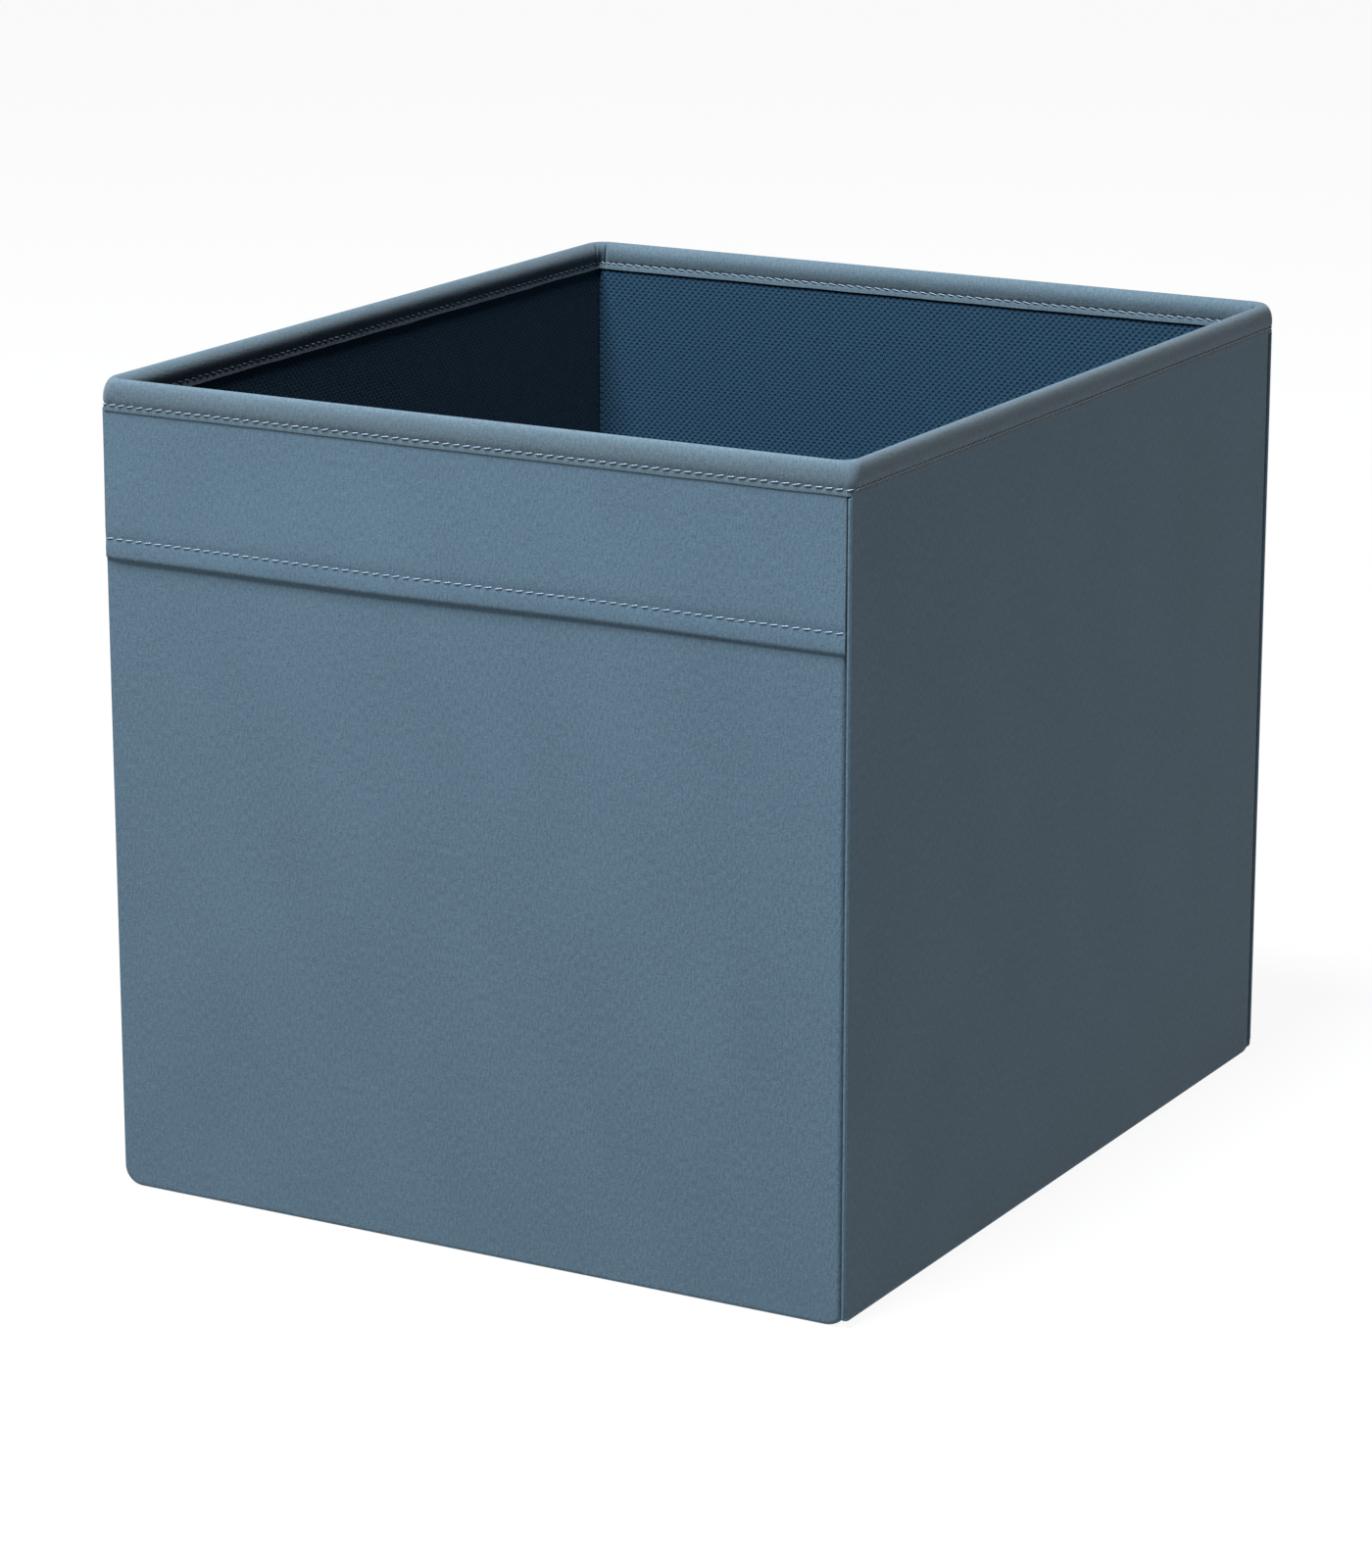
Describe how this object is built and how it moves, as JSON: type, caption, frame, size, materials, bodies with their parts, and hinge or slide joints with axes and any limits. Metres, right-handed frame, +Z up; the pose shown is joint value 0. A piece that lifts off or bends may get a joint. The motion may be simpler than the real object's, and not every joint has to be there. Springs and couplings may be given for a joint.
{
  "type": "fabric storage bin",
  "caption": "Open-topped fabric storage bin with board-stiffened walls that fold flat, a base flap, a bound rim and a pull band across the front.",
  "frame": {"origin": "centre of the base on the surface the bin stands on", "axes": "+Z up, the pull band faces -Y, +X to the right seen from the front"},
  "size_m": [0.33, 0.38, 0.33],
  "materials": {
    "outer_fabric": "fine slate-blue polyester, brushed matte",
    "binding_fabric": "the same polyester folded into a binding and welt",
    "lining_fabric": "navy embossed non-woven",
    "greyboard": "uncoated grey board",
    "sewing_thread": "twisted polyester sewing thread"
  },
  "bodies": {
    "front_wall": {"front_cover": "outer_fabric", "front_board": "greyboard", "front_lining": "lining_fabric", "front_rim_binding": "binding_fabric", "front_rim_thread": "sewing_thread"},
    "pull_band": {"pull_band": "outer_fabric", "pull_band_thread": "sewing_thread"},
    "left_wall": {"left_cover": "outer_fabric", "left_board": "greyboard", "left_lining": "lining_fabric", "left_rim_binding": "binding_fabric", "left_rim_thread": "sewing_thread", "corner_welt_front_left": "binding_fabric", "corner_welt_back_left": "binding_fabric"},
    "right_wall": {"right_cover": "outer_fabric", "right_board": "greyboard", "right_lining": "lining_fabric", "right_rim_binding": "binding_fabric", "right_rim_thread": "sewing_thread", "corner_welt_front_right": "binding_fabric", "corner_welt_back_right": "binding_fabric"},
    "back_wall": {"back_cover": "outer_fabric", "back_board": "greyboard", "back_lining": "lining_fabric", "back_rim_binding": "binding_fabric", "back_rim_thread": "sewing_thread"},
    "base_flap": {"base_cover": "outer_fabric", "base_board": "greyboard", "base_lining": "lining_fabric", "base_thread": "sewing_thread", "base_hinge_tape": "outer_fabric"}
  },
  "joints": [
    {"name": "left_wall_fold", "type": "hinge", "parent": "front_wall", "child": "left_wall", "pos_m": [-0.1594, -0.1844, 0], "axis": [0, 0, -1], "range_deg": [0, 90]},
    {"name": "right_wall_fold", "type": "hinge", "parent": "front_wall", "child": "right_wall", "pos_m": [0.165, -0.19, 0], "axis": [0, 0, -1], "range_deg": [0, 90]},
    {"name": "back_wall_fold", "type": "hinge", "parent": "right_wall", "child": "back_wall", "pos_m": [0.1594, 0.1844, 0], "axis": [0, 0, 1], "range_deg": [0, 90]},
    {"name": "base_flap_fold", "type": "hinge", "parent": "left_wall", "child": "base_flap", "pos_m": [-0.1653, 0, 0], "axis": [0, 1, 0], "range_deg": [0, 270]},
    {"name": "band_pull", "type": "hinge", "parent": "front_wall", "child": "pull_band", "pos_m": [0, -0.18925, 0.3171], "axis": [-1, 0, 0], "range_deg": [0, 20]}
  ],
  "couplings": [
    {"joint": "right_wall_fold", "follows": "left_wall_fold", "ratio": 1},
    {"joint": "back_wall_fold", "follows": "left_wall_fold", "ratio": 1},
    {"joint": "base_flap_fold", "follows": "left_wall_fold", "ratio": 3}
  ]
}
